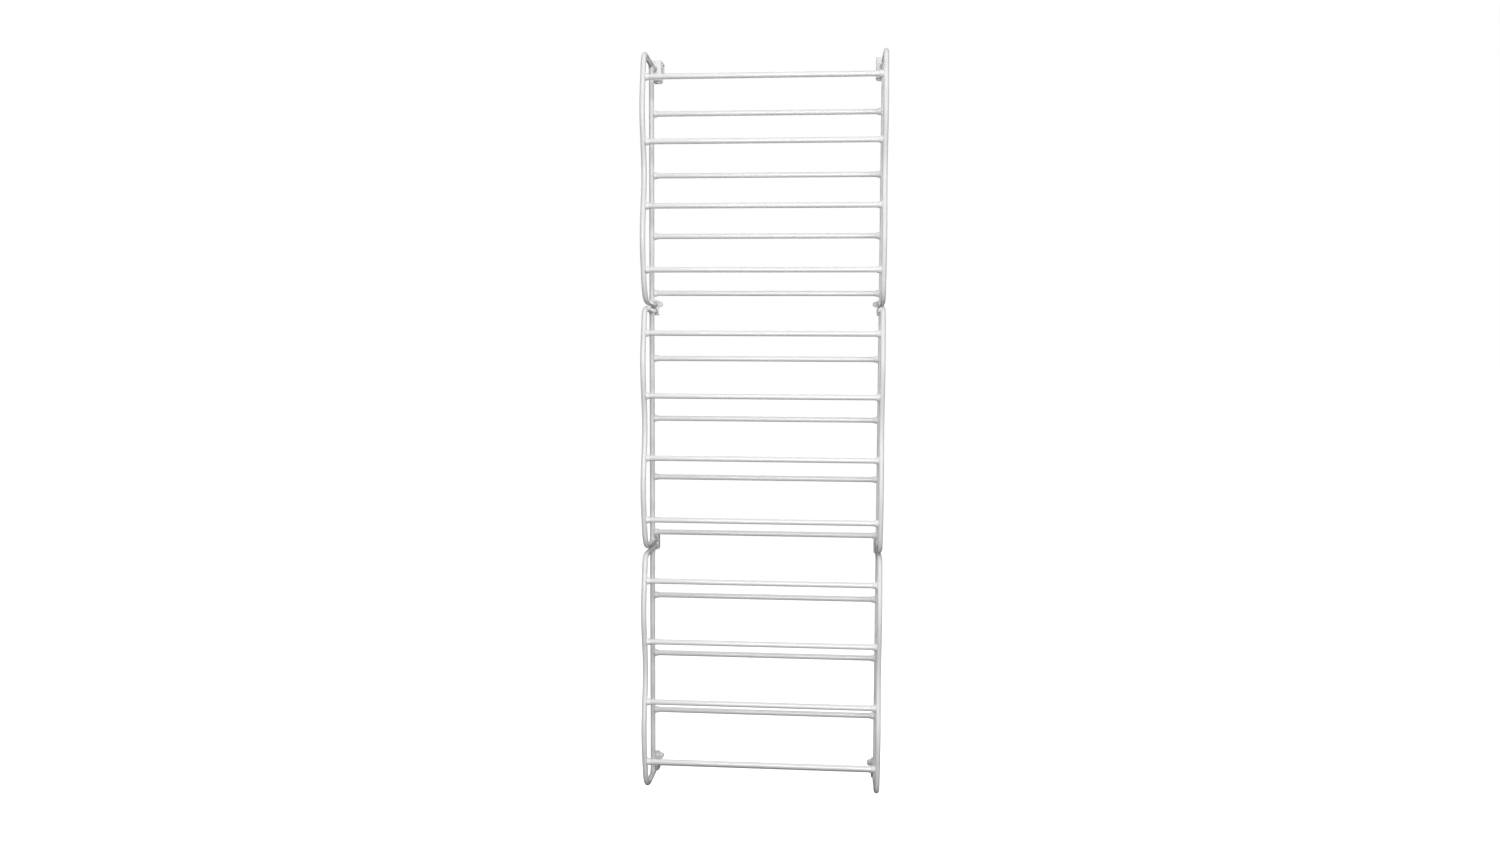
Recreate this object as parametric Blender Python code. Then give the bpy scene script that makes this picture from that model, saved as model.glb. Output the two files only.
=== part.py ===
"""Over-door shoe rack: three stacked modules of two moulded side frames and eight steel rods.

Metres, +Z up. The rack hangs on the top edge of a door: the origin is on that edge, midway
between the two hooks. +Y points into the door, -Y into the room, X runs along the door.
"""

import math

import bmesh
import bpy
from mathutils import Vector

# Layout
MODULES = ("top", "middle", "bottom")
SIDES = {"left": -1, "right": 1}
TIERS = 4                      # pairs of rods in one module
TIER_PITCH = 0.155
MODULE_HEIGHT = TIERS * TIER_PITCH
FRAME_SPACING = 0.587          # between the centre planes of the two side frames
FRONT_Y = -0.195               # plane of the front rods, measured from the door's face
ROD_SPACING = 0.125            # front rods to back rods
STACK_TOP = -0.0065            # upper line of the top module, just under the door's top edge
GAP = 0.0003                   # clearance between pieces that touch

# Side frame: a looped bar whose front runs in a wave
BAR = 0.0135                   # bar thickness
POST = 0.0131                  # rear post, a little thinner, so its flats stay inside the arms'
BAR_SIDES = 8
WAVE_DEPTH = 0.025             # crest to waist
WAVE_TOP = 0.042               # the wave starts this far under the module's upper line
WAVE_BOTTOM = 0.530            # and ends here
TOP_SHOULDER = (0.055, -0.0165)     # where the upper corner meets its arm, from the front rods
BOTTOM_SHOULDER = (0.070, -0.6200)
ARM_SLOPE = 0.035              # the arms fall slightly towards the door
ARM_LEVEL_Y = 0.155            # from here on they run level
ARM_END_Y = 0.1875

# Rods and their sockets
ROD = 0.0135
ROD_WALL = 0.0006
ROD_SIDES = 12
ROD_INSET = 0.0080             # rod end to the frame's centre plane
BACK_ROD_DROPS = (0.064, 0.064, 0.062, 0.052)   # each back rod below its front rod
SOCKET_MOUTH = 0.0164          # a collar's diameter where the rod goes in
SOCKET_BASE = 0.0192           # and where it meets the bar
SOCKET_BORE = ROD + 0.0008
SOCKET_LENGTH = 0.0155         # from the frame's centre plane, as are the two below
SOCKET_FLOOR = 0.0075          # bottom of the bore, just inboard of the bar
SOCKET_ROOT = 0.0050           # the collar's root, just inside the bar
CUT_MARGIN = 0.010             # how far a cutting shape runs past the surface that it opens

# Rear clips, which hold the arm ends and stand against the door
CLIP_HALF_WIDTH = 0.0095
CLIP_BACK_Y = -0.003
CLIP_DEPTH = 0.027
CLIP_BORE = BAR + 0.0007
CLIP_FLOOR = 0.0040
JOINT_CLIP_SPAN = (-0.0180, 0.0205)    # lower and upper end, from midway between its two arms
END_CLIP_SPAN = (-0.0090, 0.0370)      # from the arm's centre line
TOP_CLIP_SPAN = (-0.0285, 0.0225)      # from the arm's centre line
TOP_CLIP_INBOARD = 0.0185      # the top clip is wide enough for the hook strap behind it
CLIP_EDGE = 0.0012
TAB_REACH = 0.0205             # inboard end of a thumb tab, from the frame's centre plane
TAB_HEIGHT = 0.014
TAB_DEPTH = 0.012
TAB_ROOT = 0.002               # how far the tab runs into the clip's body
TAB_DROP = 0.0095              # tab's centre line below the clip's upper end
PAD_THICKNESS = 0.0027
PAD_MARGIN = 0.003

# Over-door hooks
HOOK_WIDTH = 0.018
HOOK_INBOARD = 0.0070          # strap centre, inboard of the frame's centre plane
HOOK_STRAP = 0.0025
HOOK_THROAT = 0.045            # door thickness that fits
HOOK_LIP = 0.030
HOOK_FOOT = 0.015
HOOK_BEND = 0.002              # centre-line radius of the strap's bends


def clear_scene():
    for thing in list(bpy.data.objects):
        bpy.data.objects.remove(thing, do_unlink=True)


def material(name, colour, roughness, metallic=0.0):
    made = bpy.data.materials.new(name)
    made.use_nodes = True
    shader = made.node_tree.nodes["Principled BSDF"]
    shader.inputs["Base Color"].default_value = (*colour, 1.0)
    shader.inputs["Roughness"].default_value = roughness
    shader.inputs["Metallic"].default_value = metallic
    made.diffuse_color = (*colour, 1.0)
    return made


def new_object(name, mesh, finish=None):
    made = bpy.data.objects.new(name, mesh)
    bpy.context.scene.collection.objects.link(made)
    if finish:
        mesh.materials.append(finish)
    return made


def mesh_from(name, shape):
    """The bmesh as a closed mesh with its faces pointing out."""
    bmesh.ops.recalc_face_normals(shape, faces=shape.faces)
    mesh = bpy.data.meshes.new(name)
    shape.to_mesh(mesh)
    shape.free()
    return mesh


def helper(name, shape):
    """A shape that only serves a Boolean."""
    made = new_object(name, mesh_from(name, shape))
    made.hide_render = True
    made.display_type = "WIRE"
    return made


def combine(body, other, operation):
    step = body.modifiers.new(other.name, "BOOLEAN")
    step.operation = operation
    step.object = other
    step.solver = "EXACT"


def baked(body, name):
    """The object's mesh with its Booleans carried out."""
    graph = bpy.context.evaluated_depsgraph_get()
    return bpy.data.meshes.new_from_object(body.evaluated_get(graph), depsgraph=graph)


# ---------------------------------------------------------------- basic shapes

def polygon(radius, sides, turn=0.0):
    """Corners of a regular polygon of this circumradius."""
    step = 2 * math.pi / sides
    return [(radius * math.cos(turn + i * step), radius * math.sin(turn + i * step))
            for i in range(sides)]


def bar_section(width):
    """Octagon whose flats are this far apart, two of them facing along X."""
    half_step = math.pi / BAR_SIDES
    return polygon(width / 2 / math.cos(half_step), BAR_SIDES, half_step)


def bridge(shape, rings, closed_ends=True):
    for near, far in zip(rings, rings[1:]):
        for i in range(len(near)):
            j = (i + 1) % len(near)
            shape.faces.new((near[i], near[j], far[j], far[i]))
    if closed_ends:
        shape.faces.new(rings[0])
        shape.faces.new(rings[-1])


def add_swept_bar(shape, path, section):
    """Sweeps a section along a path of (y, z) points that lies in the plane X = 0."""
    points = [Vector((0.0, y, z)) for y, z in path]
    across = Vector((1.0, 0.0, 0.0))
    rings = []
    for i, point in enumerate(points):
        before = points[max(i - 1, 0)]
        after = points[min(i + 1, len(points) - 1)]
        along = (after - before).normalized()
        normal = across.cross(along)
        rings.append([shape.verts.new(point + across * u + normal * v) for u, v in section])
    bridge(shape, rings)


def add_prism_x(shape, section, x_from, x_to, y=0.0, z=0.0, flare=1.0):
    """A prism along X, or a cone where its far section is larger by the flare."""
    rings = [[shape.verts.new((x, y + u * size, z + v * size)) for u, v in section]
             for x, size in ((x_from, 1.0), (x_to, flare))]
    bridge(shape, rings)


def add_prism_y(shape, section, y_from, y_to, x=0.0, z=0.0):
    rings = [[shape.verts.new((x + u, y, z + v)) for u, v in section] for y in (y_from, y_to)]
    bridge(shape, rings)


def add_box(shape, low, high):
    corners = ((low[0], low[2]), (high[0], low[2]), (high[0], high[2]), (low[0], high[2]))
    add_prism_y(shape, corners, low[1], high[1])


def cubic(start, start_pull, end_pull, end, steps):
    """Points of a cubic curve, its two ends included."""
    points = []
    for i in range(steps + 1):
        t = i / steps
        weights = ((1 - t) ** 3, 3 * (1 - t) ** 2 * t, 3 * (1 - t) * t * t, t ** 3)
        points.append(tuple(sum(w * p[axis] for w, p in zip(weights, (start, start_pull, end_pull, end)))
                            for axis in range(2)))
    return points


# ---------------------------------------------------------------- side frame

def wave_y(z):
    """Front bar's depth behind the front rods: crests between the rods, a waist at mid height."""
    return -WAVE_DEPTH / 2 * math.cos(4 * math.pi * (-z / MODULE_HEIGHT - 0.25))


def wave_direction(z):
    """Unit vector along the front bar, pointing down."""
    phase = 4 * math.pi * (-z / MODULE_HEIGHT - 0.25)
    slope = -WAVE_DEPTH / 2 * math.sin(phase) * 4 * math.pi / MODULE_HEIGHT
    size = math.hypot(slope, 1.0)
    return (-slope / size, -1.0 / size)


def corner(shoulder, wave_z, downwards):
    """The rounded corner between an arm and the wave, from arm to wave."""
    wave_point = (wave_y(wave_z), wave_z)
    reach = 0.5 * math.dist(shoulder, wave_point)
    tilt = math.hypot(1.0, ARM_SLOPE)
    arm_pull = (shoulder[0] - reach / tilt, shoulder[1] + reach * ARM_SLOPE / tilt)
    way = wave_direction(wave_z)
    sign = -1 if downwards else 1
    wave_pull = (wave_point[0] + sign * way[0] * reach, wave_point[1] + sign * way[1] * reach)
    return cubic(shoulder, arm_pull, wave_pull, wave_point, 6)


def arm_z(shoulder):
    """Height of the level rear end of the arm that starts at this shoulder."""
    return shoulder[1] - ARM_SLOPE * (ARM_LEVEL_Y - shoulder[0])


def arm_points(shoulder):
    level = arm_z(shoulder)
    return [(ARM_END_Y, level), (ARM_LEVEL_Y, level)]


def frame_path():
    """Centre line of the loop, from the upper arm's end round the front to the lower arm's end."""
    wave_steps = 18
    span = WAVE_BOTTOM - WAVE_TOP
    wave = [(wave_y(-WAVE_TOP - span * i / wave_steps), -WAVE_TOP - span * i / wave_steps)
            for i in range(1, wave_steps)]
    upper = arm_points(TOP_SHOULDER) + corner(TOP_SHOULDER, -WAVE_TOP, downwards=True)
    lower = arm_points(BOTTOM_SHOULDER) + corner(BOTTOM_SHOULDER, -WAVE_BOTTOM, downwards=False)
    return upper + wave + lower[::-1]


def rod_places():
    """(y, z) of the module's rods from its own upper line and the plane of the front rods."""
    front = [(0.0, -TIER_PITCH * (i + 0.5)) for i in range(TIERS)]
    back = [(ROD_SPACING, z - drop) for (_, z), drop in zip(front, BACK_ROD_DROPS)]
    return front, back


def post_height(shoulder):
    return shoulder[1] - ARM_SLOPE * (ROD_SPACING - shoulder[0])


def frame_mesh():
    """The right-hand side frame: loop, rear post and eight rod sockets that face inboard (-X)."""
    section = bar_section(BAR)
    loop = bmesh.new()
    add_swept_bar(loop, frame_path(), section)
    body = new_object("frame_blank", mesh_from("frame_blank", loop))

    post = bmesh.new()
    ends = [(ROD_SPACING, post_height(TOP_SHOULDER)), (ROD_SPACING, post_height(BOTTOM_SHOULDER))]
    add_swept_bar(post, ends, bar_section(POST))
    sockets, bores = bmesh.new(), bmesh.new()
    front, back = rod_places()
    for y, z in front + back:
        add_prism_x(sockets, polygon(SOCKET_MOUTH / 2, ROD_SIDES), -SOCKET_LENGTH, -SOCKET_ROOT,
                    y, z, SOCKET_BASE / SOCKET_MOUTH)
        add_prism_x(bores, polygon(SOCKET_BORE / 2, ROD_SIDES), -SOCKET_LENGTH - CUT_MARGIN,
                    -SOCKET_FLOOR, y, z)

    helpers = [helper("post_shape", post), helper("socket_shapes", sockets), helper("bore_shapes", bores)]
    for other, operation in zip(helpers, ("UNION", "UNION", "DIFFERENCE")):
        combine(body, other, operation)
    mesh = baked(body, "side_frame_right")
    for thing in [body] + helpers:
        bpy.data.objects.remove(thing, do_unlink=True)
    return mesh


def mirrored(mesh, name):
    """The same mesh for the other side, its faces turned back to point out."""
    shape = bmesh.new()
    shape.from_mesh(mesh)
    for vert in shape.verts:
        vert.co.x = -vert.co.x
    bmesh.ops.reverse_faces(shape, faces=shape.faces)
    made = bpy.data.meshes.new(name)
    shape.to_mesh(made)
    shape.free()
    return made


def module_top(index):
    return STACK_TOP - MODULE_HEIGHT * index


def make_frames(finish):
    right = frame_mesh()
    meshes = {1: right, -1: mirrored(right, "side_frame_left")}
    for mesh in meshes.values():
        mesh.materials.append(finish)
    for side, sign in SIDES.items():
        for index, level in enumerate(MODULES):
            frame = new_object(f"side_frame_{side}_{level}", meshes[sign])
            frame.location = (sign * FRAME_SPACING / 2, FRONT_Y, module_top(index))


# ---------------------------------------------------------------- rods

def rod_mesh(finish):
    """A thin-walled tube along X, open at both ends."""
    half = FRAME_SPACING / 2 - ROD_INSET
    shape = bmesh.new()
    rings = [[shape.verts.new((x, u, v)) for u, v in polygon(radius, ROD_SIDES)]
             for x, radius in ((-half, ROD / 2), (half, ROD / 2),
                               (half, ROD / 2 - ROD_WALL), (-half, ROD / 2 - ROD_WALL))]
    bridge(shape, rings + [rings[0]], closed_ends=False)
    mesh = mesh_from("rod", shape)
    mesh.materials.append(finish)
    return mesh


def make_rods(finish):
    mesh = rod_mesh(finish)
    for row, places in zip(("front", "back"), rod_places()):
        for index in range(len(MODULES)):
            for tier, (y, z) in enumerate(places):
                number = index * TIERS + tier + 1
                rod = new_object(f"rod_{row}_{number:02d}", mesh)
                rod.location = (0.0, FRONT_Y + y, module_top(index) + z)


# ---------------------------------------------------------------- rear clips

def stadium(reach, height, root):
    """Outline of a tab with a round free end at -reach, whose root runs in to -root."""
    radius = height / 2
    steps = 8
    arc = [(-reach + radius - radius * math.sin(math.pi * i / steps),
            -radius * math.cos(math.pi * i / steps)) for i in range(steps + 1)]
    return [(-root, -radius)] + arc + [(-root, radius)]


def clip_mesh(name, span, bore_heights, fitting=None):
    """A right-hand clip about the frame's centre plane, X = 0, with its heights from z = 0.

    A clip fitted for a hook is wide, with a channel for the strap. One with a tab has it inboard.
    """
    low, high = span
    front = CLIP_BACK_Y - CLIP_DEPTH
    inboard, back = (TOP_CLIP_INBOARD, -GAP) if fitting == "hook" else (CLIP_HALF_WIDTH, CLIP_BACK_Y)
    block = bmesh.new()
    add_box(block, (-inboard, front, low), (CLIP_HALF_WIDTH, back, high))
    bmesh.ops.recalc_face_normals(block, faces=block.faces)
    bmesh.ops.bevel(block, geom=list(block.edges), offset=CLIP_EDGE, segments=1, affect="EDGES")
    body = new_object(name + "_blank", mesh_from(name + "_blank", block))

    bores = bmesh.new()
    for z in bore_heights:
        add_prism_y(bores, bar_section(CLIP_BORE), front - CUT_MARGIN, CLIP_BACK_Y - CLIP_FLOOR, 0.0, z)
    helpers = [(helper(name + "_bores", bores), "DIFFERENCE")]
    if fitting == "hook":
        half = HOOK_WIDTH / 2 + GAP
        channel = bmesh.new()
        add_box(channel, (-HOOK_INBOARD - half, CLIP_BACK_Y, low - CUT_MARGIN),
                (-HOOK_INBOARD + half, CUT_MARGIN, high + CUT_MARGIN))
        helpers.append((helper(name + "_channel", channel), "DIFFERENCE"))
    elif fitting == "tab":
        middle = CLIP_BACK_Y - CLIP_DEPTH / 2
        tab = bmesh.new()
        add_prism_y(tab, stadium(TAB_REACH, TAB_HEIGHT, inboard - TAB_ROOT),
                    middle - TAB_DEPTH / 2, middle + TAB_DEPTH / 2, 0.0, high - TAB_DROP)
        helpers.append((helper(name + "_tab", tab), "UNION"))
    for other, operation in helpers:
        combine(body, other, operation)
    mesh = baked(body, name)
    for thing in [body] + [other for other, _ in helpers]:
        bpy.data.objects.remove(thing, do_unlink=True)
    return mesh


def pad_mesh(span):
    shape = bmesh.new()
    add_box(shape, (-CLIP_HALF_WIDTH + PAD_MARGIN, -PAD_THICKNESS, span[0] + PAD_MARGIN),
            (CLIP_HALF_WIDTH - PAD_MARGIN, 0.0, span[1] - PAD_MARGIN))
    return mesh_from("door_pad", shape)


def place_pair(base, mesh, finish, z):
    """The mesh on the right-hand frame's plane and its mirror image on the left-hand one's."""
    meshes = {1: mesh, -1: mirrored(mesh, base + "_left")}
    for side, sign in SIDES.items():
        meshes[sign].materials.clear()
        meshes[sign].materials.append(finish)
        first, _, rest = base.partition("@")
        piece = new_object(f"{first}{side}{rest}", meshes[sign])
        piece.location = (sign * FRAME_SPACING / 2, 0.0, z)


def make_clips(clip_finish, pad_finish):
    upper_arm, lower_arm = arm_z(TOP_SHOULDER), arm_z(BOTTOM_SHOULDER)

    top = clip_mesh("hook_clip", TOP_CLIP_SPAN, (0.0,), "hook")
    place_pair("hook_clip_@", top, clip_finish, module_top(0) + upper_arm)

    between = (MODULE_HEIGHT + lower_arm - upper_arm) / 2
    for index, (level, fitting) in enumerate((("upper", "tab"), ("lower", None)), start=1):
        clip = clip_mesh("joint_clip", JOINT_CLIP_SPAN, (-between, between), fitting)
        height = module_top(index) + upper_arm + between
        place_pair(f"joint_clip_@_{level}", clip, clip_finish, height)
        place_pair(f"door_pad_@_{level}", pad_mesh(JOINT_CLIP_SPAN), pad_finish, height)

    height = module_top(len(MODULES) - 1) + lower_arm
    place_pair("end_clip_@", clip_mesh("end_clip", END_CLIP_SPAN, (0.0,), "tab"), clip_finish, height)
    place_pair("door_pad_@_bottom", pad_mesh(END_CLIP_SPAN), pad_finish, height)


# ---------------------------------------------------------------- over-door hooks

def rounded_path(corners, radius):
    """The corner points of an open path with each inner corner made an arc."""
    path = [Vector(corners[0])]
    for before, here, after in zip(corners, corners[1:], corners[2:]):
        here = Vector(here)
        back = (Vector(before) - here).normalized()
        on = (Vector(after) - here).normalized()
        centre = here + (back + on) * radius
        start, end = here + back * radius, here + on * radius
        for i in range(4):
            arm = (start - centre).lerp(end - centre, i / 3).normalized() * radius
            path.append(centre + arm)
    path.append(Vector(corners[-1]))
    return path


def thickened(path, thickness):
    """Outline of a strip of this thickness about the path."""
    left, right = [], []
    for i, point in enumerate(path):
        along = (path[min(i + 1, len(path) - 1)] - path[max(i - 1, 0)]).normalized()
        normal = Vector((-along.y, along.x)) * thickness / 2
        left.append(tuple(point + normal))
        right.append(tuple(point - normal))
    return left + right[::-1]


def hook_mesh(foot_z):
    """Right-hand hook: a strip bent as foot, front leg, top plate and rear lip."""
    half = HOOK_STRAP / 2
    leg_y, lip_y, plate_z = -half, HOOK_THROAT + half, half
    corners = ((-HOOK_FOOT - HOOK_STRAP, foot_z), (leg_y, foot_z), (leg_y, plate_z),
               (lip_y, plate_z), (lip_y, -HOOK_LIP))
    shape = bmesh.new()
    add_prism_x(shape, thickened(rounded_path(corners, HOOK_BEND), HOOK_STRAP),
                -HOOK_INBOARD - HOOK_WIDTH / 2, -HOOK_INBOARD + HOOK_WIDTH / 2)
    return mesh_from("door_hook", shape)


def make_hooks(finish):
    clip_bottom = module_top(0) + arm_z(TOP_SHOULDER) + TOP_CLIP_SPAN[0]
    place_pair("door_hook_@", hook_mesh(clip_bottom - GAP - HOOK_STRAP / 2), finish, 0.0)


def main():
    clear_scene()
    white_plastic = material("white_plastic", (0.86, 0.86, 0.85), 0.42)
    white_steel = material("white_coated_steel", (0.90, 0.90, 0.89), 0.32)
    soft_pad = material("soft_pad", (0.62, 0.62, 0.61), 0.85)
    make_frames(white_plastic)
    make_rods(white_steel)
    make_clips(white_plastic, soft_pad)
    make_hooks(white_steel)


main()
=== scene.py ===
"""Looks of the over-door shoe rack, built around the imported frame.

Metres, in the row's frame: +Z up, +Y into the door, -Y into the room, X along the door.
"""

import math

import bmesh
import bpy
from mathutils import Matrix, Vector


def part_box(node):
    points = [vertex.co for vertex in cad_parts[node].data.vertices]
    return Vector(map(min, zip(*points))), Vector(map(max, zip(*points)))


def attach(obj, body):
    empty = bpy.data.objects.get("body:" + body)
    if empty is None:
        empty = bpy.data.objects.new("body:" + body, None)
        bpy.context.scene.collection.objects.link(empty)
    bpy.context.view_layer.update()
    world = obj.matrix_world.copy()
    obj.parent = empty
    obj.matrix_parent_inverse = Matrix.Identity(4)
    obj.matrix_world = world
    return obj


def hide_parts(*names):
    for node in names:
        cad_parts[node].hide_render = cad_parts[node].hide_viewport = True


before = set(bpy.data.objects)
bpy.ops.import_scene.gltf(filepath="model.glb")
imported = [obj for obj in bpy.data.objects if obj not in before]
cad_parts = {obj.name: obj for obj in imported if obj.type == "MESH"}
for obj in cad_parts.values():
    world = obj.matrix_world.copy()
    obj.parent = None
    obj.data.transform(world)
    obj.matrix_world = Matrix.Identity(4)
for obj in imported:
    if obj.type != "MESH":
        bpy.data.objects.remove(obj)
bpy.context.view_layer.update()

# Layout
LEVELS = ("top", "middle", "bottom")
SIDES = {"left": -1, "right": 1}
TIERS = 4                      # in one module
TIER_PITCH = 0.155
MODULE_HEIGHT = TIERS * TIER_PITCH
BAR = 0.0135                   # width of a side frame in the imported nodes

# Loop of a side frame: Y from its front rods' plane, Z from its upper line
WAVE_DEPTH = 0.025
WAVE_TOP = 0.042
WAVE_BOTTOM = 0.530
TOP_SHOULDER = (0.055, -0.0165)
BOTTOM_SHOULDER = (0.070, -0.6200)
ARM_SLOPE = 0.035              # down towards the door, as far as ARM_LEVEL_Y
ARM_LEVEL_Y = 0.155
ARM_BEND = 0.012               # half the length of the soft bend there
ARM_END_Y = 0.1872
WAVE_STEPS = 72
CORNER_STEPS = 18

# Round details of the moulding
BAR_RADIUS = 0.0066
BAR_SIDES = 28
SEAM_RADIUS = 0.00675          # the parting line stands this far out
SEAM_CREST = 0.028             # half its width at the crest, as an angle about the bar
SEAM_FOOT = 0.060              # and at the foot
POST_RADIUS = 0.00645
SOCKET_MOUTH = 0.0081          # a collar's radius where the rod goes in
SOCKET_BASE = 0.0094           # and where it meets the bar
SOCKET_LENGTH = 0.0155         # from the frame's plane
SOCKET_ROOT = 0.0045
SOCKET_BORE = 0.00715
SOCKET_RIM = 0.0075            # radius of the bore's chamfer at the mouth
SOCKET_FLOOR = 0.0076

# Rods
ROD_RADIUS = 0.00672
ROD_WALL = 0.0006
ROD_STRAIGHT_FROM = 0.06       # from an end to the first of the plain rings

# Clips and pads
CLIP_EDGE = 0.0021
CLIP_BORE = 0.00712
CLIP_MOUTH = 0.0084            # radius of the bore's chamfer
CLIP_FLOOR = 0.0042            # left behind the bore
GROOVE = 0.0006                # width of the groove between the two half shells
GROOVE_DEPTH = 0.0002
MARK_RADIUS = 0.0020           # ejector marks
MARK_DEPTH = 0.0004
TAB_REACH = 0.0205
TAB_HEIGHT = 0.014
TAB_DEPTH = 0.012
TAB_DROP = 0.0095              # from the clip's top to the tab's middle
TAB_ROOT = 0.0075              # how near the clip's middle the tab starts
TAB_EDGE = 0.0011
RIBS = ((-0.0176, 0.0036), (-0.0148, 0.0048), (-0.0120, 0.0052))    # X and half height
RIB_WIDTH = 0.0012
RIB_STAND = 0.0005
PAD_CORNER = 0.0028

# Hooks
STRAP = 0.0025
STRAP_EDGE = 0.0008
STRAP_BEND = 0.002
STRAP_PLANE = -0.003           # front of the strap's channel in the hook clip
STRAP_END = 0.0045             # rounding of the corners at the strap's ends
LIP_END = -0.030

# Studio
FLOOR_HEIGHT = -2.03
FLOOR_REACH = 60.0
# (height, brightness) from straight down at 0 through level at 0.5 to straight up at 1
SKY = ((0.0, 0.10), (0.10, 0.08), (0.18, 0.04), (0.50, 0.05), (0.56, 0.50), (1.0, 0.56))
SKY_STRENGTH = 0.56
# name, place, target, width and height, watts
LIGHTS = (
    ("overhead_soft", (-0.25, -1.15, 1.35), (0.0, -0.1, -0.7), (1.9, 1.1), 8.0),
    ("front_soft", (0.5, -3.2, 0.0), (0.0, -0.1, -1.0), (2.2, 1.2), 69.0),
    ("low_front_soft", (0.3, -2.6, -1.45), (0.0, -0.1, -1.7), (1.4, 0.5), 11.0),
    ("hook_soft", (0.0, 0.9, -0.55), (0.0, 0.05, 0.0), (0.9, 0.5), 3.0),
    ("rear_soft", (-0.4, 1.9, 0.9), (0.0, -0.1, -0.9), (2.2, 1.2), 10.0),
)
CAMERA_PLACE = (0.1772, -2.8881, -0.7218)
CAMERA_YAW = 4.387             # degrees, as the next two
CAMERA_PITCH = -4.231
CAMERA_ROLL = -0.239
CAMERA_LENS = 26.37

SMOOTH_BELOW = 38              # degrees between two faces


# ---------------------------------------------------------------- mesh tools

def centre(node):
    """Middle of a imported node's box."""
    low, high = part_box(node)
    return (low + high) / 2


def mesh_object(name, shape, smooth_below=SMOOTH_BELOW):
    """Turns a bmesh into an object with its faces outwards."""
    bmesh.ops.recalc_face_normals(shape, faces=shape.faces)
    mesh = bpy.data.meshes.new(name)
    shape.to_mesh(mesh)
    shape.free()
    made = bpy.data.objects.new(name, mesh)
    bpy.context.scene.collection.objects.link(made)
    shade(mesh, smooth_below)
    return made


def shade(mesh, smooth_below=SMOOTH_BELOW):
    mesh.shade_smooth()
    mesh.set_sharp_from_angle(angle=math.radians(smooth_below))


def boolean(body, other, operation):
    """Adds a boolean step, which carry_out then applies."""
    step = body.modifiers.new(other.name, "BOOLEAN")
    step.operation, step.object, step.solver = operation, other, "EXACT"


def carry_out(body, others=(), smooth_below=SMOOTH_BELOW):
    """Applies the body's modifiers and removes the shapes that only served them."""
    bpy.context.view_layer.update()
    graph = bpy.context.evaluated_depsgraph_get()
    mesh = bpy.data.meshes.new_from_object(body.evaluated_get(graph), depsgraph=graph)
    body.modifiers.clear()
    old, body.data = body.data, mesh
    bpy.data.meshes.remove(old)
    for other in others:
        bpy.data.objects.remove(other, do_unlink=True)
    tidy = bmesh.new()
    tidy.from_mesh(mesh)
    bmesh.ops.remove_doubles(tidy, verts=tidy.verts, dist=2e-6)
    bmesh.ops.dissolve_degenerate(tidy, edges=tidy.edges, dist=1e-6)
    tidy.to_mesh(mesh)
    tidy.free()
    shade(mesh, smooth_below)
    return body


def skin(shape, rings, closed_ends=True):
    """Joins each ring of vertices to the next; a ring may be a single point."""
    for near, far in zip(rings, rings[1:]):
        count = max(len(near), len(far))
        for i in range(count):
            j = (i + 1) % count
            corners = []
            for vert in (near[i % len(near)], near[j % len(near)], far[j % len(far)], far[i % len(far)]):
                if vert not in corners:
                    corners.append(vert)
            shape.faces.new(corners)
    if closed_ends:
        for ring in (rings[0], rings[-1]):
            if len(ring) > 2:
                shape.faces.new(ring)


def revolve_x(shape, profile, y, z, sides=36):
    """Turns (x, radius) points about an axis along X; a radius of 0 is a single point."""
    rings = []
    for x, radius in profile:
        if radius == 0:
            rings.append([shape.verts.new((x, y, z))])
            continue
        rings.append([shape.verts.new((x, y + radius * math.cos(2 * math.pi * i / sides),
                                       z + radius * math.sin(2 * math.pi * i / sides)))
                      for i in range(sides)])
    skin(shape, rings)


def revolve_y(shape, profile, x, z, sides=36):
    """Turns (y, radius) points about an axis along Y."""
    rings = []
    for y, radius in profile:
        rings.append([shape.verts.new((x + radius * math.cos(2 * math.pi * i / sides), y,
                                       z + radius * math.sin(2 * math.pi * i / sides)))
                      for i in range(sides)])
    skin(shape, rings)


def sweep(shape, points, sections):
    """Sweeps (u, v) sections along points in a plane of constant X: u along X, v across the path."""
    across = Vector((1.0, 0.0, 0.0))
    rings = []
    for i, point in enumerate(points):
        along = (points[min(i + 1, len(points) - 1)] - points[max(i - 1, 0)]).normalized()
        normal = across.cross(along)
        rings.append([shape.verts.new(point + across * u + normal * v) for u, v in sections[i]])
    skin(shape, rings)


def rounded_box(shape, low, high, radius, segments=3):
    """A block with all its edges rounded."""
    made = bmesh.ops.create_cube(shape, size=1.0)["verts"]
    size = [h - l for l, h in zip(low, high)]
    middle = [(h + l) / 2 for l, h in zip(low, high)]
    for vert in made:
        vert.co = Vector(m + s * c for m, s, c in zip(middle, size, vert.co))
    edges = list({edge for vert in made for edge in vert.link_edges})
    bmesh.ops.bevel(shape, geom=edges, offset=radius, segments=segments, profile=0.5, affect="EDGES")


def rounded_rectangle(half_width, half_height, radius, steps):
    """A rectangle between its corners' centres, with the corners' radius added all round."""
    outline = []
    for quarter, (side, level) in enumerate(((1, 1), (-1, 1), (-1, -1), (1, -1))):
        for i in range(steps + 1):
            turn = math.pi / 2 * (quarter + i / steps)
            outline.append((side * half_width + radius * math.cos(turn),
                            level * half_height + radius * math.sin(turn)))
    return outline


def cubic(start, start_pull, end_pull, end, steps):
    """Points on a cubic curve in a plane, with its two ends."""
    points = []
    for i in range(steps + 1):
        t = i / steps
        weights = ((1 - t) ** 3, 3 * (1 - t) ** 2 * t, 3 * (1 - t) * t * t, t ** 3)
        points.append(tuple(sum(w * p[axis] for w, p in zip(weights, (start, start_pull, end_pull, end)))
                            for axis in range(2)))
    return points


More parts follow.
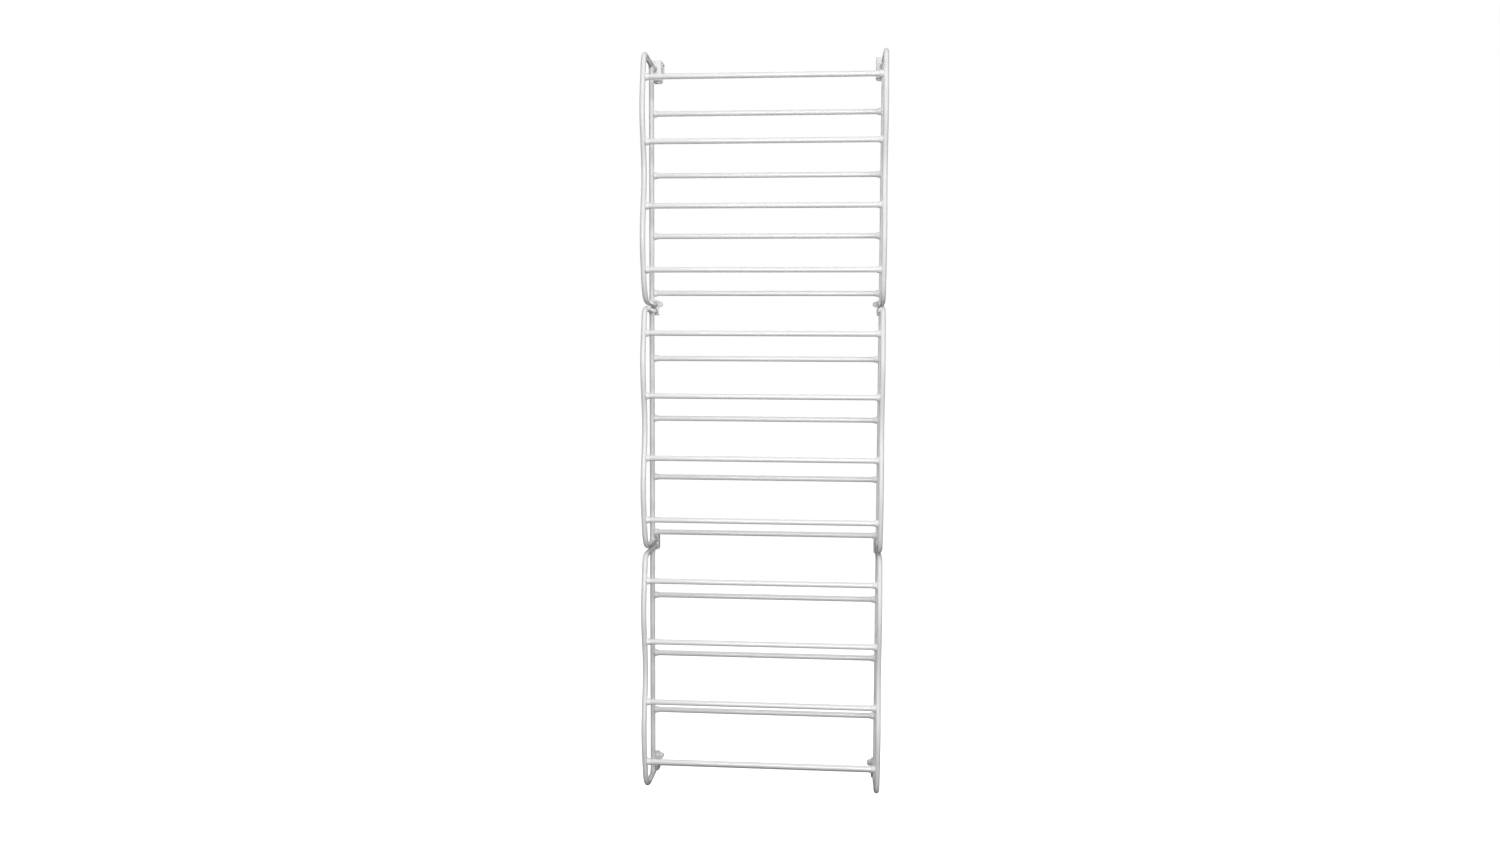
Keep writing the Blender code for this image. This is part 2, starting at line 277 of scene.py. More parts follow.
def finish_piece(piece, finish, slot, *nodes):
    """Gives a piece its material, hangs it on the root body and hides the imported nodes it replaces."""
    piece.data.materials.clear()
    piece.data.materials.append(finish)
    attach(piece, "root")
    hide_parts(*nodes)


def mirror_copy(piece, name):
    """A copy on the other side of X = 0, facing outwards."""
    mesh = piece.data.copy()
    shape = bmesh.new()
    shape.from_mesh(mesh)
    for vert in shape.verts:
        vert.co.x = -vert.co.x
    bmesh.ops.reverse_faces(shape, faces=shape.faces)
    shape.to_mesh(mesh)
    shape.free()
    shade(mesh)
    made = bpy.data.objects.new(name, mesh)
    bpy.context.scene.collection.objects.link(made)
    return made


def placed(pattern, name, offset):
    """A copy of a pattern with its place in its vertices."""
    mesh = pattern.data.copy()
    mesh.transform(Matrix.Translation(offset))
    made = bpy.data.objects.new(name, mesh)
    bpy.context.scene.collection.objects.link(made)
    return made


# ---------------------------------------------------------------- materials

class Nodes:
    """Short-hand for building one material's node tree."""

    def __init__(self, name):
        self.material = bpy.data.materials.new(name)
        self.material.use_nodes = True
        self.tree = self.material.node_tree
        self.shader = self.tree.nodes["Principled BSDF"]
        self.place = self.add("ShaderNodeTexCoord").outputs["Object"]

    def add(self, kind, **settings):
        node = self.tree.nodes.new(kind)
        for key, value in settings.items():
            setattr(node, key, value)
        return node

    def link(self, source, target):
        self.tree.links.new(source, target)

    def stretched(self, scale):
        node = self.add("ShaderNodeMapping")
        node.inputs["Scale"].default_value = scale
        self.link(self.place, node.inputs["Vector"])
        return node.outputs["Vector"]

    def noise(self, scale, detail=2.0, roughness=0.5, place=None, distortion=0.0):
        node = self.add("ShaderNodeTexNoise")
        node.inputs["Scale"].default_value = scale
        node.inputs["Detail"].default_value = detail
        node.inputs["Roughness"].default_value = roughness
        node.inputs["Distortion"].default_value = distortion
        self.link(place or self.place, node.inputs["Vector"])
        return node.outputs["Fac"]

    def ramp(self, source, low, high, low_value=0.0, high_value=1.0):
        node = self.add("ShaderNodeMapRange", clamp=True)
        for key, value in (("From Min", low), ("From Max", high),
                           ("To Min", low_value), ("To Max", high_value)):
            node.inputs[key].default_value = value
        self.link(source, node.inputs["Value"])
        return node.outputs["Result"]

    def math(self, operation, a, b):
        node = self.add("ShaderNodeMath", operation=operation)
        for socket, value in zip(node.inputs, (a, b)):
            if isinstance(value, (int, float)):
                socket.default_value = value
            else:
                self.link(value, socket)
        return node.outputs["Value"]

    def mix(self, factor, a, b):
        node = self.add("ShaderNodeMix", data_type="RGBA")
        self.link(factor, node.inputs["Factor"])
        for socket, value in ((node.inputs[6], a), (node.inputs[7], b)):
            if isinstance(value, tuple):
                socket.default_value = (*value, 1.0)
            else:
                self.link(value, socket)
        return node.outputs[2]

    def bump(self, height, strength, distance, below=None):
        node = self.add("ShaderNodeBump")
        node.inputs["Strength"].default_value = strength
        node.inputs["Distance"].default_value = distance
        self.link(height, node.inputs["Height"])
        if below:
            self.link(below, node.inputs["Normal"])
        return node.outputs["Normal"]

    def crevice_shade(self, distance):
        """1 in the open and less in corners and under overlaps; a mask for painted shade."""
        node = self.add("ShaderNodeAmbientOcclusion", samples=6)
        node.inputs["Distance"].default_value = distance
        return node.outputs["AO"]

    def done(self, colour, rough, normal):
        self.link(colour, self.shader.inputs["Base Color"])
        self.link(rough, self.shader.inputs["Roughness"])
        self.link(normal, self.shader.inputs["Normal"])
        return self.material


def moulded_plastic():
    """Satin white polypropylene: faint flow clouds, fine moulded grain, painted shade darkening the
    corners.
    """
    n = Nodes("white_moulded_plastic")
    clouds = n.noise(14.0, 4.0, 0.55, distortion=0.6)
    flow = n.noise(1.0, 3.0, 0.5, place=n.stretched((60.0, 60.0, 9.0)))
    colour = n.mix(n.ramp(clouds, 0.35, 0.68), (0.840, 0.840, 0.836), (0.890, 0.890, 0.888))
    colour = n.mix(n.ramp(flow, 0.55, 0.80, 0.0, 0.35), colour, (0.810, 0.809, 0.802))
    # painted shade: the colour turns darker grey in corners and under overlaps, where ambient occlusion
    # finds them
    corner = n.ramp(n.crevice_shade(0.007), 0.35, 0.95, 0.45, 0.0)
    colour = n.mix(corner, colour, (0.56, 0.555, 0.54))
    grain = n.noise(1100.0, 2.0, 0.6)
    wave = n.noise(52.0, 2.0, 0.5)
    rough = n.math("ADD", n.ramp(clouds, 0.3, 0.7, 0.34, 0.44), n.ramp(grain, 0.3, 0.7, -0.03, 0.05))
    normal = n.bump(wave, 0.10, 0.0012)
    normal = n.bump(grain, 0.14, 0.00012, normal)
    n.shader.inputs["Specular IOR Level"].default_value = 0.5
    n.shader.inputs["Coat Weight"].default_value = 0.25
    n.shader.inputs["Coat Roughness"].default_value = 0.20
    return n.done(colour, rough, normal)


def coated_steel():
    """White powder coat on steel: orange peel, faint drawing streaks along X, specks of dust, painted shade
    in the corners.
    """
    n = Nodes("white_powder_coat")
    streak = n.noise(1.0, 3.0, 0.55, place=n.stretched((5.0, 150.0, 150.0)))
    clouds = n.noise(11.0, 3.0, 0.5)
    specks = n.noise(900.0, 1.0, 0.5)
    colour = n.mix(n.ramp(streak, 0.35, 0.70), (0.825, 0.826, 0.822), (0.875, 0.876, 0.873))
    colour = n.mix(n.ramp(clouds, 0.50, 0.78, 0.0, 0.40), colour, (0.79, 0.79, 0.782))
    colour = n.mix(n.ramp(specks, 0.70, 0.76, 0.0, 0.30), colour, (0.62, 0.615, 0.60))
    # painted shade: the colour turns darker grey in corners and under overlaps, where ambient occlusion
    # finds them
    corner = n.ramp(n.crevice_shade(0.005), 0.35, 0.95, 0.35, 0.0)
    colour = n.mix(corner, colour, (0.55, 0.545, 0.53))
    peel = n.noise(420.0, 2.0, 0.45)
    rough = n.math("ADD", n.ramp(streak, 0.3, 0.7, 0.24, 0.33), n.ramp(peel, 0.3, 0.7, -0.02, 0.04))
    normal = n.bump(peel, 0.16, 0.00022)
    n.shader.inputs["Specular IOR Level"].default_value = 0.5
    n.shader.inputs["Coat Weight"].default_value = 0.80
    n.shader.inputs["Coat Roughness"].default_value = 0.10
    return n.done(colour, rough, normal)


def foam_pad():
    """Closed-cell foam: small open cells, slightly darker in the pores."""
    n = Nodes("grey_foam_pad")
    cells = n.add("ShaderNodeTexVoronoi", feature="F1")
    cells.inputs["Scale"].default_value = 1300.0
    n.link(n.place, cells.inputs["Vector"])
    pores = n.ramp(cells.outputs["Distance"], 0.12, 0.60)
    clouds = n.noise(120.0, 3.0, 0.5)
    colour = n.mix(pores, (0.42, 0.42, 0.41), (0.64, 0.64, 0.63))
    colour = n.mix(n.ramp(clouds, 0.40, 0.75, 0.0, 0.4), colour, (0.56, 0.555, 0.54))
    rough = n.ramp(clouds, 0.3, 0.7, 0.80, 0.94)
    normal = n.bump(pores, 0.5, 0.0003)
    n.shader.inputs["Specular IOR Level"].default_value = 0.25
    return n.done(colour, rough, normal)


# ---------------------------------------------------------------- side frames

def wave_y(z):
    """Y of the front bar's wave at a height below the module's upper line."""
    return -WAVE_DEPTH / 2 * math.cos(4 * math.pi * (-z / MODULE_HEIGHT - 0.25))


def wave_direction(z):
    """Unit (y, z) along the wave, downwards."""
    phase = 4 * math.pi * (-z / MODULE_HEIGHT - 0.25)
    slope = -WAVE_DEPTH / 2 * math.sin(phase) * 4 * math.pi / MODULE_HEIGHT
    size = math.hypot(slope, 1.0)
    return (-slope / size, -1.0 / size)


def corner(shoulder, wave_z, downwards):
    """The bend from an arm's shoulder into the wave."""
    wave_point = (wave_y(wave_z), wave_z)
    reach = 0.5 * math.dist(shoulder, wave_point)
    tilt = math.hypot(1.0, ARM_SLOPE)
    arm_pull = (shoulder[0] - reach / tilt, shoulder[1] + reach * ARM_SLOPE / tilt)
    way = wave_direction(wave_z)
    sign = -1 if downwards else 1
    wave_pull = (wave_point[0] + sign * way[0] * reach, wave_point[1] + sign * way[1] * reach)
    return cubic(shoulder, arm_pull, wave_pull, wave_point, CORNER_STEPS)


def arm_height(shoulder, y):
    """Z of an arm's centre line at Y: it slopes, then runs level."""
    return shoulder[1] - ARM_SLOPE * (min(y, ARM_LEVEL_Y) - shoulder[0])


def arm(shoulder):
    """Points from the arm's rear end forwards, with a soft bend where it turns level."""
    level = arm_height(shoulder, ARM_LEVEL_Y)
    points = [(ARM_END_Y, level)]
    steps = 6
    for i in range(steps + 1):
        t = i / steps
        points.append((ARM_LEVEL_Y + ARM_BEND * (1 - 2 * t), level + ARM_SLOPE * ARM_BEND * t * t))
    return points


def loop_points():
    """Centre line of the whole loop, from the upper arm's end to the lower arm's."""
    span = WAVE_BOTTOM - WAVE_TOP
    heights = [-WAVE_TOP - span * i / WAVE_STEPS for i in range(1, WAVE_STEPS)]
    wave = [(wave_y(z), z) for z in heights]
    upper = arm(TOP_SHOULDER) + corner(TOP_SHOULDER, -WAVE_TOP, True)
    lower = arm(BOTTOM_SHOULDER) + corner(BOTTOM_SHOULDER, -WAVE_BOTTOM, False)
    return [Vector((0.0, y, z)) for y, z in upper + wave + lower[::-1]]


def bar_outline():
    """Round, with the mould's parting line as a fine raised ridge at the front and the back."""
    outline = [(2 * math.pi * (i + 0.5) / BAR_SIDES, BAR_RADIUS) for i in range(BAR_SIDES)]
    for middle in (math.pi / 2, 3 * math.pi / 2):
        for turn, radius in ((-SEAM_FOOT, BAR_RADIUS), (-SEAM_CREST, SEAM_RADIUS),
                             (SEAM_CREST, SEAM_RADIUS), (SEAM_FOOT, BAR_RADIUS)):
            outline.append((middle + turn, radius))
    return [(radius * math.cos(turn), radius * math.sin(turn)) for turn, radius in sorted(outline)]


def rod_places():
    """(y, z) of a module's rods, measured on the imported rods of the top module."""
    origin = centre("rod_front_01")
    places = []
    for row in ("front", "back"):
        for tier in range(TIERS):
            here = centre(f"rod_{row}_{tier + 1:02d}")
            places.append((here.y - origin.y, here.z - origin.z - TIER_PITCH / 2))
    return places


def post_shape():
    """The rear post, which swells where it runs into the two arms."""
    y = centre("rod_back_01").y - centre("rod_front_01").y
    top, bottom = arm_height(TOP_SHOULDER, y), arm_height(BOTTOM_SHOULDER, y)
    fillet = ((0.0, BAR_RADIUS), (0.0055, 0.0080), (0.0072, 0.0074), (0.0092, 0.0069),
              (0.0120, 0.00655), (0.0150, POST_RADIUS))
    along = [(top - s, r) for s, r in fillet] + [(bottom + s, r) for s, r in reversed(fillet)]
    circle = [(math.cos(2 * math.pi * i / BAR_SIDES), math.sin(2 * math.pi * i / BAR_SIDES))
              for i in range(BAR_SIDES)]
    shape = bmesh.new()
    sweep(shape, [Vector((0.0, y, z)) for z, _ in along],
          [[(u * r, v * r) for u, v in circle] for _, r in along])
    return mesh_object("shape_post", shape)


def collar_profile():
    """A rod socket's outside: rolled foot on the bar, hollow cone, rounded mouth."""
    foot = [(-SOCKET_ROOT, 0.0), (-SOCKET_ROOT, SOCKET_BASE - 0.0030), (-0.0050, SOCKET_BASE - 0.0012),
            (-0.0058, SOCKET_BASE - 0.0003), (-BAR_RADIUS, SOCKET_BASE)]
    cone = []
    steps = 7
    for i in range(1, steps):
        t = i / steps
        radius = SOCKET_MOUTH + (SOCKET_BASE - SOCKET_MOUTH) * (1 - t) ** 1.6
        cone.append((-BAR_RADIUS - (SOCKET_LENGTH - BAR_RADIUS - 0.0010) * t, radius))
    rim = [(-SOCKET_LENGTH + 0.0006, SOCKET_MOUTH), (-SOCKET_LENGTH + 0.0001, SOCKET_MOUTH - 0.0003),
           (-SOCKET_LENGTH, SOCKET_MOUTH - 0.0006), (-SOCKET_LENGTH, 0.0)]
    return foot + cone + rim


def bore_profile():
    """What is cut out of a socket for its rod, with a chamfer at the mouth."""
    past = SOCKET_LENGTH + 0.004
    return ((-SOCKET_FLOOR, 0.0), (-SOCKET_FLOOR, SOCKET_BORE), (-SOCKET_LENGTH + 0.0005, SOCKET_BORE),
            (-SOCKET_LENGTH - 0.0001, SOCKET_RIM), (-past, SOCKET_RIM), (-past, 0.0))


def frame_pattern():
    """The right-hand moulding about its own plane X = 0: loop, post, sockets with their bores."""
    loop = bmesh.new()
    points = loop_points()
    sweep(loop, points, [bar_outline()] * len(points))
    body = mesh_object("pattern_frame", loop)
    post = post_shape()
    sockets, bores = bmesh.new(), bmesh.new()
    for y, z in rod_places():
        revolve_x(sockets, collar_profile(), y, z)
        revolve_x(bores, bore_profile(), y, z)
    others = [post, mesh_object("shape_sockets", sockets), mesh_object("shape_bores", bores)]
    for other, operation in zip(others, ("UNION", "UNION", "DIFFERENCE")):
        boolean(body, other, operation)
    return carry_out(body, others)


def make_frames(finish):
    """The six side frames; returns X of the right-hand frames' own plane."""
    right = frame_pattern()
    left = mirror_copy(right, "pattern_frame_left")
    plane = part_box("side_frame_right_top")[1].x - BAR / 2
    for side, pattern in (("left", left), ("right", right)):
        for index, level in enumerate(LEVELS):
            first = centre(f"rod_front_{index * TIERS + 1:02d}")
            offset = Vector((SIDES[side] * plane, first.y, first.z + TIER_PITCH / 2))
            piece = placed(pattern, f"frame_moulding_{side}_{level}", offset)
            finish_piece(piece, finish, "white_plastic", f"side_frame_{side}_{level}")
    for pattern in (left, right):
        bpy.data.objects.remove(pattern, do_unlink=True)
    return plane


# ---------------------------------------------------------------- rods

def rod_pattern(half):
    """A drawn tube along X with its ends rolled in and its wall open to view."""
    inner = ROD_RADIUS - ROD_WALL
    ends = [(half - back, ROD_RADIUS - turned_in)
            for back, turned_in in ((0.0030, 0.0), (0.0012, 0.00006), (0.0004, 0.0002), (0.0, 0.0004))]
    start = half - ROD_STRAIGHT_FROM
    spans = 8
    outer = [(-x, radius) for x, radius in reversed(ends)]
    outer += [(-start + 2 * start * i / spans, ROD_RADIUS) for i in range(spans + 1)]
    outer += ends
    bore = [(half, inner - 0.0001), (half - 0.002, inner), (-half + 0.002, inner), (-half, inner - 0.0001)]
    shape = bmesh.new()
    sides = 40
    rings = [[shape.verts.new((x, radius * math.cos(2 * math.pi * i / sides),
                               radius * math.sin(2 * math.pi * i / sides))) for i in range(sides)]
             for x, radius in outer + bore]
    skin(shape, rings + [rings[0]], closed_ends=False)
    return mesh_object("pattern_rod", shape)


def make_rods(finish):
    """All the rods, front and back, counted from the top."""
    low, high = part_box("rod_front_01")
    pattern = rod_pattern((high.x - low.x) / 2)
    for row in ("front", "back"):
        for number in range(1, len(LEVELS) * TIERS + 1):
            node = f"rod_{row}_{number:02d}"
            piece = placed(pattern, f"tube_{row}_{number:02d}", centre(node))
            finish_piece(piece, finish, "white_coated_steel", node)
    bpy.data.objects.remove(pattern, do_unlink=True)


# ---------------------------------------------------------------- clips and pads

def tab_outline(reach, height):
    """(x, z) of a tab: straight from the clip, half round at its end."""
    radius = height / 2
    steps = 14
    arc = [(-reach + radius - radius * math.sin(math.pi * i / steps),
            -radius * math.cos(math.pi * i / steps)) for i in range(steps + 1)]
    return [(-TAB_ROOT, -radius)] + arc + [(-TAB_ROOT, radius)]


def thumb_tab(shape, height, front, back):
    """Rounded tab with softened rims, its flat faces towards the room and the door."""
    rim = ((0.0, TAB_EDGE), (0.0004, 0.0004), (TAB_EDGE, 0.0))
    stations = [(front + inset, shrink) for inset, shrink in rim]
    stations += [(back - inset, shrink) for inset, shrink in rim[::-1]]
    rings = []
    for y, shrink in stations:
        outline = tab_outline(TAB_REACH - shrink, TAB_HEIGHT - 2 * shrink)
        rings.append([shape.verts.new((x, y, height + z)) for x, z in outline])
    skin(shape, rings)


def clip_bores(shape, heights, front, back):
    """What is cut out of a clip for the arms' ends, chamfered at the front."""
    profile = ((front - 0.004, CLIP_MOUTH), (front - 0.0001, CLIP_MOUTH), (front + 0.0010, CLIP_BORE),
               (back - CLIP_FLOOR, CLIP_BORE))
    for z in heights:
        revolve_y(shape, profile, 0.0, z)


def ejector_marks(shape, outer_x, heights, y, radius=MARK_RADIUS):
    """Shallow round marks in a clip's outer face."""
    bottom, past = outer_x - MARK_DEPTH, outer_x + 0.0015
    for z in heights:
        revolve_x(shape, ((bottom, 0.0), (bottom, radius), (past, radius + 0.0002), (past, 0.0)), y, z, 24)


def tab_pieces(height, middle):
    """The thumb tab of a clip and the grip ribs on its front."""
    tab, ribs = bmesh.new(), bmesh.new()
    front = middle - TAB_DEPTH / 2
    thumb_tab(tab, height, front, middle + TAB_DEPTH / 2)
    for x, tall in RIBS:
        rounded_box(ribs, (x, front - RIB_STAND, height - tall),
                    (x + RIB_WIDTH, front + RIB_WIDTH, height + tall), 0.0004, 2)
    return [mesh_object("shape_tab", tab), mesh_object("shape_ribs", ribs)]


def clip_piece(low, high, bar_heights):
    """A right-hand clip, X from the frame's plane, with a tab if its box reaches further inwards."""
    block = bmesh.new()
    rounded_box(block, (-high.x, low.y, low.z), high, CLIP_EDGE, 4)
    body = mesh_object("pattern_clip", block)
    middle = (low + high) / 2
    added = tab_pieces(high.z - TAB_DROP, middle.y) if low.x < -high.x - CLIP_EDGE else []

    cuts = bmesh.new()
    clip_bores(cuts, bar_heights, low.y, high.y)
    bottom, past = high.x - GROOVE_DEPTH, high.x + 0.0015
    for x_from, x_to in ((bottom, past), (-past, -bottom)):
        rounded_box(cuts, (x_from, low.y - 0.002, middle.z - GROOVE / 2),
                    (x_to, high.y + 0.002, middle.z + GROOVE / 2), 0.0001, 1)
    ejector_marks(cuts, high.x, (low.z + 0.0075, high.z - 0.0075), middle.y)
    cutter = mesh_object("shape_cuts", cuts)
    for other in added:
        boolean(body, other, "UNION")
    boolean(body, cutter, "DIFFERENCE")
    return carry_out(body, added + [cutter])


def hook_clip_piece(low, high, bar_height, strap_low_x, strap_high_x):
    """The upper right-hand clip: a wider block with a channel for the strap."""
    block = bmesh.new()
    rounded_box(block, low, high, CLIP_EDGE, 4)
    body = mesh_object("pattern_hook_clip", block)
    cuts = bmesh.new()
    clip_bores(cuts, (bar_height,), low.y, STRAP_PLANE)
    rounded_box(cuts, (strap_low_x - 0.0003, STRAP_PLANE, low.z - 0.01),
                (strap_high_x + 0.0003, 0.01, high.z + 0.01), 0.0001, 1)
    ejector_marks(cuts, high.x, (low.z + 0.009, high.z - 0.009), (low.y + high.y) / 2, 0.0022)
    cutter = mesh_object("shape_cuts", cuts)
    boolean(body, cutter, "DIFFERENCE")
    return carry_out(body, [cutter])


def pad_piece(low, high):
    """A foam pad with rounded corners and a slightly crowned rim."""
    shape = bmesh.new()
    half, middle = (high - low) / 2, (high + low) / 2
    rim = ((0.0, 0.0005), (0.10, 0.00015), (0.25, 0.0), (0.75, 0.0), (0.90, 0.0002), (1.0, 0.0007))
    rings = []
    for share, shrink in rim:
        y = low.y + (high.y - low.y) * share
        outline = rounded_rectangle(half.x - PAD_CORNER, half.z - PAD_CORNER, PAD_CORNER - shrink, 6)
        rings.append([shape.verts.new((middle.x + x, y, middle.z + z)) for x, z in outline])
    skin(shape, rings)
    return mesh_object("pattern_pad", shape, 50)


def shifted(node, plane):
    """A right-hand node's box with X measured from the frame's plane."""
    low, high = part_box(node)
    return low - Vector((plane, 0, 0)), high - Vector((plane, 0, 0))


def place_both(pattern, plane, finish, slot, name, node):
    """The right-hand pattern in place and its mirror image on the left."""
    right = placed(pattern, name.replace("@", "right"), Vector((plane, 0, 0)))
    left = mirror_copy(right, name.replace("@", "left"))
    finish_piece(right, finish, slot, node.replace("@", "right"))
    finish_piece(left, finish, slot, node.replace("@", "left"))
    bpy.data.objects.remove(pattern, do_unlink=True)


def make_clips(plane, plastic, foam):
    """Hook clips, joint clips and end clips, and the foam pads behind the lower ones."""
    tops = [centre(f"rod_front_{i * TIERS + 1:02d}").z + TIER_PITCH / 2 for i in range(len(LEVELS))]
    upper = [top + arm_height(TOP_SHOULDER, ARM_END_Y) for top in tops]
    lower = [top + arm_height(BOTTOM_SHOULDER, ARM_END_Y) for top in tops]

    for index, level in enumerate(("upper", "lower")):
        low, high = shifted(f"joint_clip_right_{level}", plane)
        clip = clip_piece(low, high, (lower[index], upper[index + 1]))
        place_both(clip, plane, plastic, "white_plastic", f"clip_joint_@_{level}", f"joint_clip_@_{level}")
        low, high = shifted(f"door_pad_right_{level}", plane)
        place_both(pad_piece(low, high), plane, foam, "soft_pad", f"foam_@_{level}", f"door_pad_@_{level}")

    low, high = shifted("end_clip_right", plane)
    clip = clip_piece(low, high, (lower[2],))
    place_both(clip, plane, plastic, "white_plastic", "clip_end_@", "end_clip_@")
    low, high = shifted("door_pad_right_bottom", plane)
    place_both(pad_piece(low, high), plane, foam, "soft_pad", "foam_@_bottom", "door_pad_@_bottom")

    low, high = shifted("hook_clip_right", plane)
    strap_low, strap_high = shifted("door_hook_right", plane)
    clip = hook_clip_piece(low, high, upper[0], strap_low.x, strap_high.x)
    place_both(clip, plane, plastic, "white_plastic", "clip_hook_@", "hook_clip_@")


# ---------------------------------------------------------------- hooks

def rounded_path(corners, radius, steps=8):
    """A path through square corners, each rounded with the same radius."""
    path = [Vector(corners[0])]
    for before, here, after in zip(corners, corners[1:], corners[2:]):
        here = Vector(here)
        back = (Vector(before) - here).normalized()
        on = (Vector(after) - here).normalized()
        middle = here + (back + on) * radius
        start, end = here + back * radius, here + on * radius
        for i in range(steps + 1):
            turn = math.pi / 2 * i / steps
            path.append(middle + (start - middle) * math.cos(turn) + (end - middle) * math.sin(turn))
    path.append(Vector(corners[-1]))
    return path


def strap_outline(width, thick):
    """A flat strip's section with rounded edges: u along X, v through the strip."""
    edge = min(STRAP_EDGE, width / 2)
    return rounded_rectangle(width / 2 - edge, thick / 2 - edge, edge, 3)


def hook_pattern(low, high):
    """A bent strip: foot under the clip, front leg, plate over the door, rear lip with round corners."""
    half = STRAP / 2
    corners = ((low.y, low.z + half), (-half, low.z + half), (-half, high.z - half),
               (high.y - half, high.z - half), (high.y - half, LIP_END))
    path = rounded_path(corners, STRAP_BEND)
    width = high.x - low.x
    steps = 7

    def end_points(first, second):
        """Points close to the path's end, where the strip's corners are cut round."""
        way = (second - first).normalized()
        return [first + way * STRAP_END * (1 - math.cos(math.pi / 2 * i / steps)) for i in range(steps + 1)]

    points = end_points(path[0], path[1]) + path[1:-1] + end_points(path[-1], path[-2])[::-1]
    widths = []
    for i in range(len(points)):
        from_end = min(i, len(points) - 1 - i)
        if from_end > steps:
            widths.append(width)
        else:
            widths.append(width - 2 * STRAP_END * (1 - math.sin(math.pi / 2 * from_end / steps)))
    shape = bmesh.new()
    middle = (low.x + high.x) / 2
    sections = []
    for i, wide in enumerate(widths):
        thick = STRAP - (0.0006 if i in (0, len(widths) - 1) else 0.0)
        sections.append([(middle + u, v) for u, v in strap_outline(wide, thick)])
    sweep(shape, [Vector((0.0, p[0], p[1])) for p in points], sections)
    return mesh_object("pattern_hook", shape, 50)


def make_hooks(plane, finish):
    """The two over-door hooks."""
    low, high = shifted("door_hook_right", plane)
    place_both(hook_pattern(low, high), plane, finish, "white_coated_steel", "strap_hook_@", "door_hook_@")


# ---------------------------------------------------------------- stage, lights, camera

def make_floor():
    """A wide pale floor well under the hanging rack, unseen from below."""
    shape = bmesh.new()
    bmesh.ops.create_grid(shape, x_segments=24, y_segments=24, size=FLOOR_REACH)
    floor = mesh_object("studio_floor", shape)
    floor.location.z = FLOOR_HEIGHT
    n = Nodes("pale_floor")
    tone = n.noise(1.3, 2.0, 0.5)
    colour = n.mix(n.ramp(tone, 0.3, 0.7), (0.93, 0.93, 0.93), (0.95, 0.95, 0.95))
    n.link(colour, n.shader.inputs["Base Color"])
    n.shader.inputs["Roughness"].default_value = 0.9
    n.shader.inputs["Specular IOR Level"].default_value = 0.1
    n.shader.inputs["Emission Color"].default_value = (1.0, 1.0, 1.0, 1.0)
    n.shader.inputs["Emission Strength"].default_value = 0.74
    back = n.add("ShaderNodeNewGeometry").outputs["Backfacing"]
    clear = n.add("ShaderNodeBsdfTransparent")
    mixed = n.add("ShaderNodeMixShader")
    n.link(back, mixed.inputs["Fac"])
    n.link(n.shader.outputs["BSDF"], mixed.inputs[1])
    n.link(clear.outputs["BSDF"], mixed.inputs[2])
    n.link(mixed.outputs["Shader"], n.tree.nodes["Material Output"].inputs["Surface"])
    floor.data.materials.append(n.material)
    floor.visible_diffuse = False
    floor.visible_glossy = False


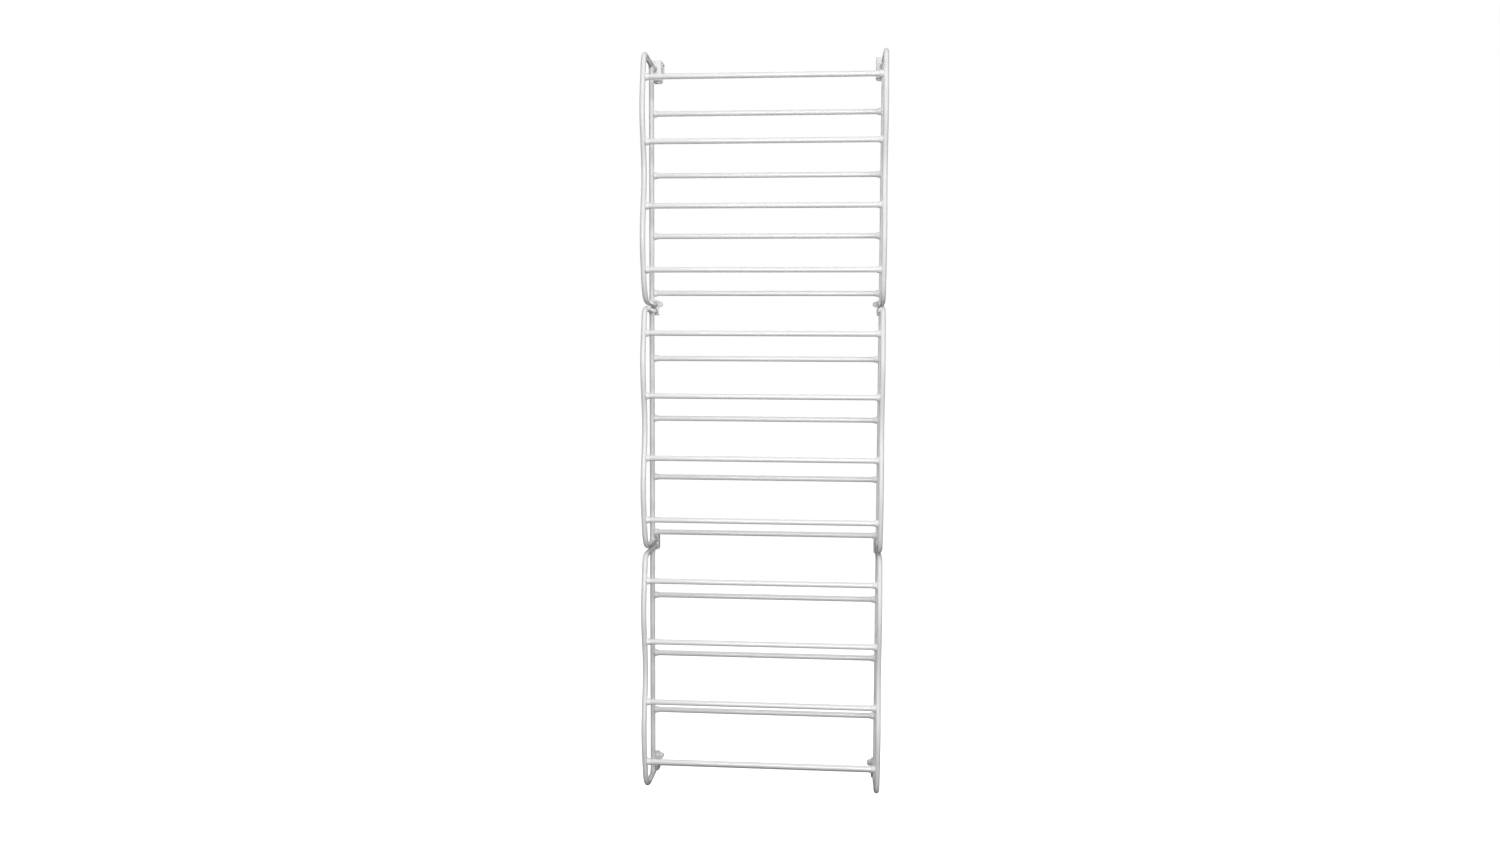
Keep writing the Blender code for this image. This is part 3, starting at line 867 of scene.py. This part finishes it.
def make_world():
    """White backdrop; the light it gives is bright above and dim below."""
    world = bpy.data.worlds.new("studio")
    world.use_nodes = True
    bpy.context.scene.world = world
    tree = world.node_tree
    tree.nodes.clear()
    place = tree.nodes.new("ShaderNodeTexCoord")
    split = tree.nodes.new("ShaderNodeSeparateXYZ")
    ramp = tree.nodes.new("ShaderNodeValToRGB")
    rise = tree.nodes.new("ShaderNodeMapRange")
    rise.inputs["From Min"].default_value = -1.0
    light = tree.nodes.new("ShaderNodeBackground")
    seen = tree.nodes.new("ShaderNodeBackground")
    ray = tree.nodes.new("ShaderNodeLightPath")
    mixed = tree.nodes.new("ShaderNodeMixShader")
    out = tree.nodes.new("ShaderNodeOutputWorld")
    tree.links.new(place.outputs["Generated"], split.inputs["Vector"])
    tree.links.new(split.outputs["Z"], rise.inputs["Value"])
    tree.links.new(rise.outputs["Result"], ramp.inputs["Fac"])
    tree.links.new(ramp.outputs["Color"], light.inputs["Color"])
    tree.links.new(ray.outputs["Is Camera Ray"], mixed.inputs["Fac"])
    tree.links.new(light.outputs["Background"], mixed.inputs[1])
    tree.links.new(seen.outputs["Background"], mixed.inputs[2])
    tree.links.new(mixed.outputs["Shader"], out.inputs["Surface"])
    stops = ramp.color_ramp.elements
    for height, _ in SKY[1:-1]:
        stops.new(height)
    for stop, (_, value) in zip(stops, SKY):
        stop.color = (value, value, value, 1.0)
    light.inputs["Strength"].default_value = SKY_STRENGTH
    seen.inputs["Color"].default_value = (1.0, 1.0, 1.0, 1.0)
    seen.inputs["Strength"].default_value = 1.0


def add_light(name, place, target, size, power):
    """A soft rectangular light that the camera doesn't see."""
    data = bpy.data.lights.new(name, "AREA")
    data.shape = "RECTANGLE"
    data.size, data.size_y = size
    data.energy = power
    lamp = bpy.data.objects.new(name, data)
    bpy.context.scene.collection.objects.link(lamp)
    lamp.location = place
    lamp.rotation_mode = "QUATERNION"
    lamp.rotation_quaternion = (Vector(target) - Vector(place)).to_track_quat("-Z", "Y")
    lamp.visible_camera = False


def make_camera():
    """The camera looks along +Y, turned a little to the left and down."""
    data = bpy.data.cameras.new("camera")
    data.lens = CAMERA_LENS
    data.sensor_width = 36.0
    data.dof.use_dof = False
    camera = bpy.data.objects.new("camera", data)
    bpy.context.scene.collection.objects.link(camera)
    turn = (Matrix.Rotation(math.radians(CAMERA_YAW), 3, "Z")
            @ Matrix.Rotation(math.radians(CAMERA_PITCH), 3, "X")
            @ Matrix.Rotation(math.radians(CAMERA_ROLL), 3, "Y"))
    right, ahead, up = (turn @ Vector(axis) for axis in ((1, 0, 0), (0, 1, 0), (0, 0, 1)))
    basis = Matrix((right, up, -ahead)).transposed().to_4x4()
    camera.matrix_world = Matrix.Translation(CAMERA_PLACE) @ basis
    data.clip_start, data.clip_end = 0.02, 200.0
    bpy.context.scene.camera = camera


# ---------------------------------------------------------------- all together

plastic, steel, foam = moulded_plastic(), coated_steel(), foam_pad()
frame_plane = make_frames(plastic)
make_rods(steel)
make_clips(frame_plane, plastic, foam)
make_hooks(frame_plane, steel)
make_floor()
make_world()
for light in LIGHTS:
    add_light(*light)
make_camera()
bpy.context.scene.view_settings.view_transform = "Standard"

bpy.context.view_layer.update()
